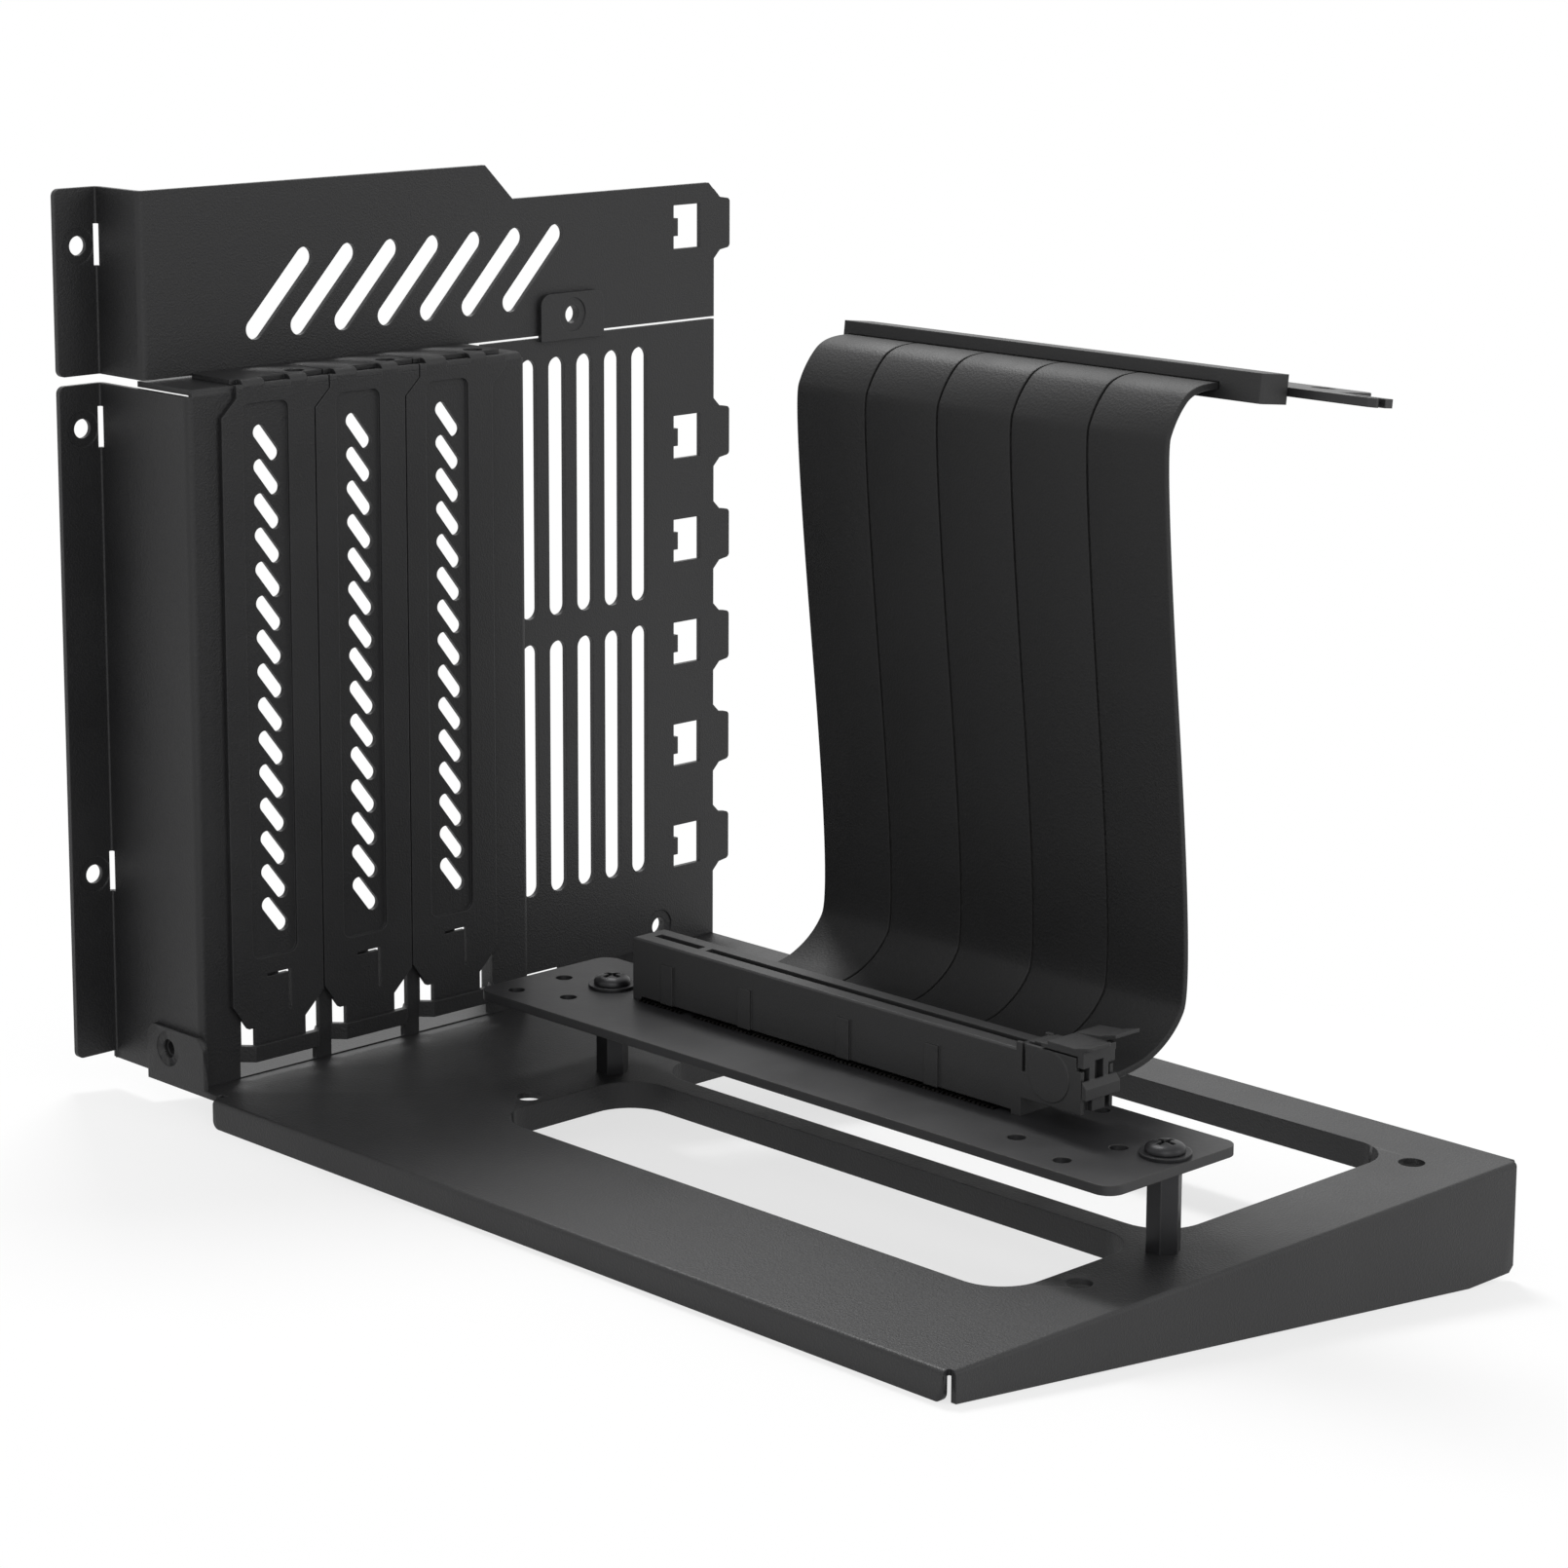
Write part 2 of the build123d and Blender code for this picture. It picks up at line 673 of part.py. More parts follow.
with BuildPart() as base_plate:
    with BuildSketch():
        with BuildLine():
            Polyline(
                (left_x, tab_edge_y),
                (lip_x - corner_slit, tab_edge_y),
                (lip_x - corner_slit, tab_edge_y + 1.5),
                (lip_x, tab_edge_y + 1.5),
                (lip_x, front_y),
                (right_x - corner_slit, front_y),
                (right_x - corner_slit, front_y + corner_slit),
                (right_x, front_y + corner_slit),
                (right_x, back_y - corner_slit),
                (right_x - corner_slit, back_y - corner_slit),
                (right_x - corner_slit, back_y),
                (left_x + corner_slit, back_y),
                (left_x + corner_slit, back_y - corner_slit),
                (left_x, back_y - corner_slit),
                close=True,
            )
        make_face()
    extrude(amount=-base_sheet)
    # Front and back flanges
    with BuildSketch(along(front_y)) as front_flange:
        with Locations(((lip_x + right_x - corner_slit) / 2, -front_lip / 2)):
            Rectangle(right_x - corner_slit - lip_x, front_lip)
        fillet(front_flange.vertices().group_by(Axis.Y)[0], 1.5)
    extrude(amount=-base_sheet)
    with BuildSketch(along(back_y - base_sheet)) as back_flange:
        with Locations(((left_x + right_x) / 2, -back_lip / 2)):
            Rectangle(right_x - left_x - 2 * corner_slit, back_lip)
        fillet(back_flange.vertices().group_by(Axis.Y)[0], 1.5)
    extrude(amount=-base_sheet)
    # Side flanges deepen towards the back, so that the mount stands on them
    for face_x, start_y, end_y in [
        (right_x, front_y + corner_slit, back_y - corner_slit),
        (left_x + base_sheet, side_y + side_lip_start, back_tab_y - back_tab_width / 2 - 1.0),
    ]:
        slope = (back_lip - front_lip) / (back_y - front_y)
        with BuildSketch(facing(face_x)) as side_flange:
            with BuildLine():
                Polyline(
                    (start_y, 0),
                    (end_y, 0),
                    (end_y, -front_lip - slope * (end_y - front_y)),
                    (start_y, -front_lip - slope * (start_y - front_y)),
                    close=True,
                )
            make_face()
            fillet(side_flange.vertices().sort_by(Axis.Y)[:1], 2.5)
        extrude(amount=-base_sheet)
    # Openings for air, with their edges drawn down
    for middle, width in openings:
        with BuildSketch():
            with Locations((opening_x, middle)):
                RectangleRounded(
                    opening_length + 2 * base_sheet,
                    width + 2 * base_sheet,
                    opening_corner + base_sheet,
                )
        extrude(amount=-opening_lip)
    for middle, width in openings:
        with BuildSketch():
            with Locations((opening_x, middle)):
                RectangleRounded(opening_length, width, opening_corner)
        extrude(amount=-2 * opening_lip, mode=Mode.SUBTRACT)
    # Four holes for the case, two for the standoffs' screws
    with BuildSketch():
        with GridLocations(hole_pitch_x, hole_pitch_y, 2, 2):
            Circle(base_hole_d / 2)
        with Locations(*standoffs_xy):
            Circle(screw_d / 2 + screw_clearance)
    extrude(amount=-base_sheet, mode=Mode.SUBTRACT)
    # Tabs turned up: one outside the side panel, one behind the wall
    with BuildSketch(along(tab_edge_y)) as side_tab:
        with Locations((left_x + side_tab_length / 2, side_tab_height / 2 - base_sheet / 2)):
            Rectangle(side_tab_length, side_tab_height + base_sheet)
        fillet(side_tab.vertices().group_by(Axis.Y)[-1], tab_corner)
    extrude(amount=-base_sheet)
    screw_seats(along(tab_edge_y), [(left_x + side_tab_hole_x, side_tab_hole)])
    with BuildSketch(facing(left_x + base_sheet)) as back_tab:
        with Locations((back_tab_y, back_tab_height / 2 - base_sheet / 2)):
            Rectangle(back_tab_width, back_tab_height + base_sheet)
        fillet(back_tab.vertices().group_by(Axis.Y)[-1], tab_corner)
    extrude(amount=-base_sheet)
    with BuildSketch(facing(left_x + base_sheet)):
        with Locations((back_tab_y, back_tab_hole)):
            Circle(flange_hole_d / 2)
    extrude(amount=-base_sheet, mode=Mode.SUBTRACT)
    # Rounded folds along the front, the back, the right side and the openings
    rounded = [
        edge
        for edge in base_plate.edges()
        if abs(edge.center().Z) < small
        and (
            abs(edge.center().Y - front_y) < small
            or abs(edge.center().Y - back_y) < small
            or abs(edge.center().X - right_x) < small
        )
    ]
    fillet(rounded, base_sheet - 0.2)
base_plate.part.label = "base_plate"

# Riser board
board_low = standoff_height
board_top = board_low + board_thickness

with BuildPart() as riser_board:
    with BuildSketch(Plane.XY.offset(board_low)):
        with Locations(((board_left + board_right) / 2, board_front + board_width / 2)):
            RectangleRounded(board_length, board_width, board_corner)
        with Locations(*[(board_left + x, board_front + y) for x, y in holes_from_left]):
            Circle(board_hole_d / 2, mode=Mode.SUBTRACT)
        with Locations(*[(board_right - x, board_front + y) for x, y in holes_from_right]):
            Circle(board_hole_d / 2, mode=Mode.SUBTRACT)
        with Locations(*standoffs_xy):
            Circle(screw_d / 2 + screw_clearance, mode=Mode.SUBTRACT)
    extrude(amount=board_thickness)
riser_board.part.label = "riser_board"

# Hexagonal standoffs, threaded from both ends
with BuildPart() as standoffs:
    with BuildSketch():
        with Locations(*standoffs_xy):
            RegularPolygon(standoff_flats / 2, 6, major_radius=False)
            Circle(screw_d / 2 + thread_clearance, mode=Mode.SUBTRACT)
    extrude(amount=standoff_height)
standoffs.part.label = "standoffs"

with BuildPart() as washers:
    with BuildSketch(Plane.XY.offset(board_top)):
        with Locations(*standoffs_xy):
            Circle(washer_d / 2)
            Circle(screw_d / 2 + screw_clearance, mode=Mode.SUBTRACT)
    extrude(amount=washer_thickness)
washers.part.label = "washers"


def pan_screw(seat, direction, length):
    """A pan head screw with a cross recess at each standoff, its head seated at the given height."""
    with BuildSketch(Plane.XY.offset(seat)) as heads:
        with Locations(*standoffs_xy):
            Circle(screw_head_d / 2)
    extrude(heads.sketch, amount=direction * screw_head_height)
    with BuildSketch(Plane.XY.offset(seat)) as shanks:
        with Locations(*standoffs_xy):
            Circle(screw_d / 2)
    extrude(shanks.sketch, amount=-direction * length)
    with BuildSketch(Plane.XY.offset(seat + direction * screw_head_height)) as crosses:
        with Locations(*standoffs_xy):
            Rectangle(cross_length, cross_width)
            Rectangle(cross_width, cross_length)
    extrude(crosses.sketch, amount=-direction * cross_depth, mode=Mode.SUBTRACT)


with BuildPart() as board_screws:
    pan_screw(board_top + washer_thickness, 1, top_screw_length)
    chamfer(board_screws.edges().filter_by(GeomType.CIRCLE).group_by(Axis.Z)[-1], 0.6)
board_screws.part.label = "board_screws"

with BuildPart() as base_screws:
    pan_screw(-base_sheet, -1, base_screw_length)
    chamfer(base_screws.edges().filter_by(GeomType.CIRCLE).group_by(Axis.Z)[0], 0.6)
base_screws.part.label = "base_screws"

# Card connector: moulded body, with the latch's cradle at its far end
body_left = board_left + connector_from_left
body_right = body_left + connector_length
body_y = board_front + connector_front + connector_width / 2
body_low = board_top + connector_lift
body_high = board_top + connector_height
key_x = body_left + key_from_end
card_segments = [
    (body_left + card_slot_end, key_x - key_width / 2),
    (key_x + key_width / 2, body_right - card_slot_end),
]
contact_starts = [
    key_x - key_width / 2 - 0.9 - (contact_count_before_key - 1) * contact_pitch,
    key_x + key_width / 2 + 0.9,
]
contact_counts = [contact_count_before_key, contact_count_after_key]
channel_depth = contact_thickness + 0.25
channel_high = body_low + contact_spring_rise + 0.4
pivot = (body_right + pivot_x, board_top + pivot_height)
near_side = body_y - connector_width / 2
far_side = body_y + connector_width / 2
cheek_end = body_right + cheek_length

with BuildPart() as connector_body:
    with BuildSketch(Plane.XY.offset(body_low)):
        with Locations(((body_left + body_right) / 2, body_y)):
            Rectangle(connector_length, connector_width)
    extrude(amount=body_high - body_low)
    chamfer(connector_body.edges().group_by(Axis.Z)[-1], 0.3)
    with BuildSketch(Plane.XY.offset(board_top)):
        with Locations((body_left + end_block / 2, body_y), (body_right - end_block / 2, body_y)):
            Rectangle(end_block, connector_width)
    extrude(amount=connector_lift)
    # Ribs on both long faces
    with BuildSketch(Plane.XY.offset(body_low)):
        for x in rib_places:
            with Locations((body_left + x, body_y)):
                Rectangle(rib_width, connector_width + 2 * rib_proud)
    extrude(amount=rib_height)
    # Groove for the card's edge, in two lengths either side of the key
    for start, end in card_segments:
        with BuildSketch(Plane.XY.offset(body_high)):
            with Locations(((start + end) / 2, body_y)):
                Rectangle(end - start, card_slot_width)
        extrude(amount=-card_slot_depth, mode=Mode.SUBTRACT)
    # Channels for the contacts, open to the groove and to the board
    side = card_slot_width / 2 + channel_depth / 2
    for start, count in zip(contact_starts, contact_counts):
        length = (count - 1) * contact_pitch + contact_width + 0.4
        with BuildSketch(Plane.XY.offset(body_low)):
            with Locations(
                (start - contact_width / 2 - 0.2 + length / 2, body_y - side),
                (start - contact_width / 2 - 0.2 + length / 2, body_y + side),
            ):
                Rectangle(length, channel_depth)
        extrude(amount=channel_high - body_low, mode=Mode.SUBTRACT)
    # Two cheeks carry the latch clear of the board, each slit off from the body's upper part
    for cheek_y in (near_side, far_side - cheek_wall):
        with BuildSketch(along(cheek_y)):
            with BuildLine():
                Polyline(
                    (body_right - 1.0, board_top + cheek_low),
                    (cheek_end, board_top + cheek_low),
                    (cheek_end, board_top + cheek_step_low),
                    (cheek_end - cheek_step, board_top + cheek_step_low),
                    (cheek_end - cheek_step, board_top + cheek_high),
                    (body_right - 1.0, board_top + cheek_high),
                    close=True,
                )
            make_face()
        extrude(amount=-cheek_wall)
    with BuildSketch(along(near_side)):
        with Locations(
            (body_right + cheek_slit_start + cheek_slit_width / 2, board_top + (cheek_slit_low + cheek_high) / 2)
        ):
            Rectangle(cheek_slit_width, cheek_high - cheek_slit_low)
    extrude(amount=-connector_width, mode=Mode.SUBTRACT)
    with BuildSketch(along(near_side)):
        with Locations((body_right + boss_x, board_top + boss_height)):
            Circle(boss_d / 2)
    extrude(amount=boss_proud)
    # Blind holes in the cheeks' inner faces take the latch's pins
    with BuildSketch(along(body_y)):
        with Locations(pivot):
            Circle(pivot_pin_d / 2 + pivot_clearance)
    extrude(
        amount=connector_width / 2 - cheek_wall + pin_depth + small,
        both=True,
        mode=Mode.SUBTRACT,
    )
connector_body.part.label = "connector_body"

# Contacts: a foot on the board and a spring that rises beside the groove
with BuildPart() as contacts:
    foot_out = connector_width / 2 + contact_foot
    inner = card_slot_width / 2 + 0.15
    for start, count in zip(contact_starts, contact_counts):
        for side in (-1, 1):
            with BuildSketch(facing(start - contact_width / 2)):
                with BuildLine():
                    Polyline(
                        (body_y + side * inner, board_top + 0.1),
                        (body_y + side * foot_out, board_top + 0.1),
                        (body_y + side * foot_out, board_top + 0.1 + contact_thickness),
                        (body_y + side * (inner + contact_thickness), board_top + 0.1 + contact_thickness),
                        (body_y + side * (inner + contact_thickness), body_low + contact_spring_rise),
                        (body_y + side * inner, body_low + contact_spring_rise),
                        close=True,
                    )
                make_face()
            blade = extrude(amount=contact_width, mode=Mode.PRIVATE)
            with Locations(*[(n * contact_pitch, 0, 0) for n in range(count)]):
                add(blade)
contacts.part.label = "contacts"

# Latch: a lever between the cheeks with a toe, a card hook and two finger wings
lever_width = connector_width - 2 * (cheek_wall + lever_gap)
lever_front = cheek_end + lever_front_gap
wing_low = board_top + lever_high
wing_bend_x = body_right + near_wing_start + wing_bend


def finger_wing(start, length, side, width, low):
    """A flat wing over the lever, its outer part bent up; side is its near edge."""
    end = start + length
    with BuildSketch(along(side)) as wing:
        with BuildLine():
            Polyline(
                (start, low),
                (wing_bend_x, low),
                (end, low + wing_rise),
                (end, low + wing_rise + wing_thickness * 0.6),
                (wing_bend_x, low + wing_thickness),
                (start, low + wing_thickness * 0.6),
                close=True,
            )
        make_face()
    extrude(wing.sketch, amount=-width)


with BuildPart() as latch:
    with BuildSketch(along(body_y - lever_width / 2)):
        with BuildLine():
            Polyline(
                (body_right + lever_back, board_top + lever_low + 1.5),
                (body_right + lever_back + 1.5, board_top + lever_low),
                (lever_front, board_top + lever_low),
                (lever_front, wing_low + small),
                (body_right + lever_back, wing_low + small),
                close=True,
            )
        make_face()
    extrude(amount=-lever_width)
    # The cap and the toe are as wide as the cheeks and lie in front of them
    with BuildSketch(along(near_side)):
        with Locations((lever_front - cap_length / 2, (board_top + cap_low + wing_low) / 2)):
            Rectangle(cap_length, wing_low - board_top - cap_low)
    extrude(amount=-connector_width)
    with BuildSketch(along(near_side - toe_side)):
        with BuildLine():
            Polyline(
                (lever_front - toe_wall, board_top + toe_low),
                (lever_front + toe_out, board_top + toe_low),
                (lever_front + toe_out, board_top + toe_high),
                (lever_front, board_top + toe_high + toe_jog),
                (lever_front - toe_wall, board_top + toe_high + toe_jog),
                close=True,
            )
        make_face()
    extrude(amount=-connector_width - 2 * toe_side)
    # Below the toe only a narrow leg is left of the front wall
    with BuildSketch(facing(lever_front)):
        for side in (-1, 1):
            with Locations((body_y + side * (leg_width + lever_width) / 2, board_top + (lever_low + toe_low) / 2)):
                Rectangle(lever_width, toe_low - lever_low)
    extrude(amount=-leg_depth, mode=Mode.SUBTRACT)
    # Grip recess in the outer face
    with BuildSketch(facing(lever_front)):
        with Locations((body_y, board_top + (grip_low + grip_high) / 2)):
            Rectangle(grip_width, grip_high - grip_low)
    extrude(amount=-grip_depth, mode=Mode.SUBTRACT)
    # Hook that bears on the card's notch
    with BuildSketch(along(body_y - lever_width / 2)):
        with BuildLine():
            Polyline(
                (body_right + lever_back + small, board_top + hook_low),
                (body_right + lever_back - hook_reach, board_top + hook_high - 0.4),
                (body_right + lever_back - hook_reach, board_top + hook_high),
                (body_right + lever_back + small, board_top + hook_high),
                close=True,
            )
        make_face()
    extrude(amount=-lever_width)
    # Finger wings, the far one set further out, joined by a deck
    near_start = body_right + near_wing_start
    far_start = body_right + far_wing_start
    far_wing_y = far_side + far_wing_side
    finger_wing(near_start, near_wing_length, near_side, near_wing_width, wing_low)
    finger_wing(far_start, far_wing_length, far_wing_y - 1.0, far_wing_width + 1.0, wing_low + far_wing_up)
    with BuildSketch(Plane.XY.offset(wing_low)):
        with Locations(((far_start + lever_front) / 2, (near_side + far_wing_y) / 2)):
            Rectangle(lever_front - far_start, far_wing_y - near_side)
    extrude(amount=far_wing_up + wing_thickness * 0.5)
    wing_ends = [
        edge
        for edge in latch.edges().filter_by(Axis.Z)
        if edge.center().X > lever_front + toe_out and edge.center().Z > wing_low
    ]
    fillet(wing_ends, wing_corner)
    # Pins on both sides
    with BuildSketch(along(body_y)):
        with Locations(pivot):
            Circle(pivot_pin_d / 2)
    extrude(amount=connector_width / 2 - cheek_wall + pin_depth - 0.1, both=True)
latch.part.label = "latch"

# Ribbon: straight runs joined by tangent arcs, soldered under the board and held in the plug
points = [Vector(0, y, z) for y, z in ribbon_route]
radii = []
for a, b, c in zip(points, points[1:], points[2:]):
    turn = math.radians((b - a).get_angle(c - b))
    shorter = min((b - a).length, (c - b).length)
    radii.append(0.45 * shorter / math.tan(turn / 2))
print("ribbon radii", [round(r, 1) for r in radii])
strip_width = (ribbon_width - (strip_count - 1) * strip_gap) / strip_count
ribbon_strips = []
for n in range(strip_count):
    strip_x = body_left + ribbon_from_body + n * (strip_width + strip_gap)
    with BuildPart() as strip:
        with BuildSketch(facing(strip_x)):
            with BuildLine():
                ribbon_line = FilletPolyline(*ribbon_route, radius=radii)
            trace(line_width=ribbon_thickness)
        extrude(amount=strip_width)
    strip.part.label = "ribbon_strip_" + str(n + 1)
    ribbon_strips.append(strip.part)
print("ribbon length", round(ribbon_line.length, 1))

# Plug that goes into the computer's own card slot
# It is drawn level and then turned with the ribbon's last run
turn_y, turn_z = ribbon_route[-2]
run_y = ribbon_route[-1][0] - turn_y
run_z = ribbon_route[-1][1] - turn_z
plug_turn = math.degrees(math.atan2(run_z, run_y))
turn_axis = Axis((0, turn_y, turn_z), (1, 0, 0))
plug_y = turn_y + math.hypot(run_y, run_z) - plug_ribbon_seat
plug_left = body_left - plug_overhang
plug_low = turn_z - plug_below_ribbon
plug_right = plug_left + plug_length
blade_low = turn_z - plug_board_thickness / 2
blade_y = plug_y + plug_depth - plug_board_seat
blade_end = plug_y + plug_depth + plug_board_reach
ribbon_middle = body_left + ribbon_from_body + ribbon_width / 2

with BuildPart() as plug_body:
    with BuildSketch(Plane.XY.offset(plug_low)):
        with Locations(((plug_left + plug_right) / 2, plug_y + plug_depth / 2)):
            RectangleRounded(plug_length, plug_depth, plug_corner)
    extrude(amount=plug_height)
    with BuildSketch(along(plug_y)):
        with Locations((ribbon_middle, turn_z)):
            Rectangle(ribbon_width + 0.4, ribbon_thickness + 0.1)
    extrude(amount=-plug_ribbon_seat, mode=Mode.SUBTRACT)
    with BuildSketch(along(plug_y + plug_depth)):
        with Locations(((plug_left + plug_right) / 2, turn_z)):
            Rectangle(plug_length - 2 * blade_inset, plug_board_thickness)
    extrude(amount=plug_board_seat, mode=Mode.SUBTRACT)
plug_body_turned = plug_body.part.rotate(turn_axis, plug_turn)
plug_body_turned.label = "plug_body"

# Card edge: fills the plug's slot, reaches past it, and has a thin arm and a hook at its right
blade_left = plug_left + blade_inset
blade_right = plug_right - blade_inset
plug_far = plug_y + plug_depth
arm_low_y = plug_far + blade_gap
arm_high_y = arm_low_y + arm_width
hook_low_y = arm_high_y + arm_slot_width
hook_high_y = hook_low_y + hook_width
with BuildPart() as plug_blade:
    with BuildSketch(Plane.XY.offset(blade_low)) as blade_outline:
        with BuildLine():
            Polyline(
                (blade_left, blade_y),
                (blade_right, blade_y),
                (blade_right, arm_low_y),
                (plug_right + arm_reach - arm_width, arm_low_y),
                (plug_right + arm_reach, arm_high_y - arm_width / 2),
                (plug_right + arm_reach, arm_high_y),
                (plug_right + arm_reach - arm_slot_length, arm_high_y),
                (plug_right + arm_reach - arm_slot_length, hook_low_y),
                (plug_right + hook_out, hook_low_y),
                (plug_right + hook_out, hook_high_y),
                (plug_right + blade_side, hook_high_y),
                (plug_right + blade_side, blade_end - blade_corner),
                (plug_right + blade_side - blade_corner, blade_end),
                (blade_left + blade_corner, blade_end),
                (blade_left, blade_end - blade_corner),
                close=True,
            )
        make_face()
        with Locations((body_left + plug_key_from_left, blade_end - plug_key_depth / 2 + 1)):
            Rectangle(plug_key_width, plug_key_depth + 2, mode=Mode.SUBTRACT)
        with Locations((plug_right + blade_hole[0], plug_far + blade_hole[1])):
            Circle(blade_hole_d / 2, mode=Mode.SUBTRACT)
        with Locations((plug_right + small_blade_hole[0], plug_far + small_blade_hole[1])):
            Circle(small_blade_hole_d / 2, mode=Mode.SUBTRACT)
    extrude(amount=plug_board_thickness)
plug_blade_turned = plug_blade.part.rotate(turn_axis, plug_turn)
plug_blade_turned.label = "plug_blade"

bodies = [lower_wall, upper_wall, base_plate, riser_board, standoffs, washers, board_screws]
bodies += [base_screws, connector_body, contacts, latch]
pieces = [body.part for body in bodies] + slot_covers + ribbon_strips + [plug_body_turned, plug_blade_turned]
os.makedirs("parts", exist_ok=True)
for piece in pieces:
    export_step(piece, "parts/" + piece.label + ".step")
    print(piece.label, len(piece.solids()), piece.is_valid)
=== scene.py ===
import math

import bmesh
import bpy
from mathutils import Euler, Matrix, Vector


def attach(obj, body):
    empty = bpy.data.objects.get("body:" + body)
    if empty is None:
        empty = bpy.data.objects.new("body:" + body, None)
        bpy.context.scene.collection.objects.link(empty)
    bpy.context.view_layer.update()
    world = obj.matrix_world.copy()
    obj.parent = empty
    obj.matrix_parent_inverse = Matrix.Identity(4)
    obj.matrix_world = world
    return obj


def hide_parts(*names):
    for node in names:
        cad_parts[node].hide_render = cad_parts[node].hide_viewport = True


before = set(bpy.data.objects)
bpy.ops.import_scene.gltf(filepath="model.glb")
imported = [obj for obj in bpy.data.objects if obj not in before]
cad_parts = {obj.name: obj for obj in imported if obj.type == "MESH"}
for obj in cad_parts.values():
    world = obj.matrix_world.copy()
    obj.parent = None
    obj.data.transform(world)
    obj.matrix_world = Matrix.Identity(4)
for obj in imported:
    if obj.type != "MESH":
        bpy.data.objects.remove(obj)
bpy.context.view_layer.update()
mm = 0.001


# Black powder coat on the folded steel of the walls, the base and the slot covers. The coat is
# sprayed on dry and baked, so it has a fine leathery grain and slightly uneven gloss, and it
# rubs thin along the folds and cut edges.

cloud_scale = 38.0
rubbed_edge = 0.35 * mm
rubbed_turn = 0.12
flat_turn = 0.999
rubbed_share = (0.15, 0.8)
smoother, rougher = 0.05, 0.06
edge_softness = 0.25 * mm
grain_depth = 0.12 * mm
cell_density = 0.8
coat_specular = 0.4


def node_adder(tree):
    """Gives a helper that adds a node to a tree and sets its sockets and settings."""
    def add(kind, **values):
        node = tree.nodes.new(kind)
        for key, value in values.items():
            if key in node.inputs:
                node.inputs[key].default_value = value
            else:
                setattr(node, key, value)
        return node

    return add


def new_material(name):
    """An empty node material, with its shader and a helper that adds nodes."""
    material = bpy.data.materials.new(name)
    material.use_nodes = True
    tree = material.node_tree
    return material, tree.links.new, tree.nodes["Principled BSDF"], node_adder(tree)


def set_shader(material, socket, value):
    """Sets a number on the shader's own socket."""
    material.node_tree.nodes["Principled BSDF"].inputs[socket].default_value = value


def mix_colours(add, link, factor, first, second):
    """Blends two colours by a factor output."""
    mix = add("ShaderNodeMix", data_type="RGBA")
    link(factor, mix.inputs["Factor"])
    mix.inputs["A"].default_value = (*first, 1)
    mix.inputs["B"].default_value = (*second, 1)
    return mix.outputs["Result"]


def spread(add, link, value, low, high, start=0.3, end=0.7):
    """Maps a value, such as that of a noise, to a range."""
    ramp = add("ShaderNodeMapRange")
    ramp.inputs["From Min"].default_value = start
    ramp.inputs["From Max"].default_value = end
    ramp.inputs["To Min"].default_value = low
    ramp.inputs["To Max"].default_value = high
    link(value, ramp.inputs["Value"])
    return ramp.outputs["Result"]


def edge_mask(add, link):
    """Finds the edges of a solid by the turn that a small bevel gives its normal."""
    bevel = add("ShaderNodeBevel", samples=4, Radius=rubbed_edge)
    plain = add("ShaderNodeNewGeometry")
    dot = add("ShaderNodeVectorMath", operation="DOT_PRODUCT")
    link(bevel.outputs["Normal"], dot.inputs[0])
    link(plain.outputs["Normal"], dot.inputs[1])
    return spread(add, link, dot.outputs["Value"], 1.0, 0.0, 1.0 - rubbed_turn, flat_turn)


def coated(name, dark, light, worn, roughness, grain, grain_size, cells=False):
    """A sprayed, moulded or jacketed black surface with grain, cloudy gloss and worn edges."""
    material, link, shader, add = new_material(name)
    place = add("ShaderNodeTexCoord").outputs["Object"]
    cloud = add("ShaderNodeTexNoise", Scale=cloud_scale, Detail=4.0, Roughness=0.6)
    fine = add("ShaderNodeTexNoise", Scale=1 / (grain_size * mm), Detail=3.0, Roughness=0.55)
    link(place, cloud.inputs["Vector"])
    link(place, fine.inputs["Vector"])
    clouds = cloud.outputs["Fac"]
    height = fine.outputs["Fac"]
    if cells:
        density = cell_density / (grain_size * mm)
        leather = add("ShaderNodeTexVoronoi", Scale=density, Randomness=1.0)
        link(place, leather.inputs["Vector"])
        joined = add("ShaderNodeMath", operation="MULTIPLY")
        link(leather.outputs["Distance"], joined.inputs[0])
        link(fine.outputs["Fac"], joined.inputs[1])
        height = joined.outputs["Value"]
    colour = mix_colours(add, link, spread(add, link, clouds, 0, 1), dark, light)
    wear = add("ShaderNodeMath", operation="MULTIPLY")
    link(edge_mask(add, link), wear.inputs[0])
    link(spread(add, link, clouds, *rubbed_share), wear.inputs[1])
    finished = add("ShaderNodeMix", data_type="RGBA")
    link(wear.outputs["Value"], finished.inputs["Factor"])
    link(colour, finished.inputs["A"])
    finished.inputs["B"].default_value = (*worn, 1)
    link(finished.outputs["Result"], shader.inputs["Base Color"])
    gloss = spread(add, link, clouds, roughness - smoother, roughness + rougher)
    link(gloss, shader.inputs["Roughness"])
    bump = add("ShaderNodeBump", Strength=grain, Distance=grain_depth)
    soft = add("ShaderNodeBevel", samples=4, Radius=edge_softness)
    link(soft.outputs["Normal"], bump.inputs["Normal"])
    link(height, bump.inputs["Height"])
    link(bump.outputs["Normal"], shader.inputs["Normal"])
    return material


def finish_nodes(material, *names):
    """Puts a material on CAD nodes."""
    for name in names:
        data = bpy.data.objects[name].data
        data.materials.clear()
        data.materials.append(material)


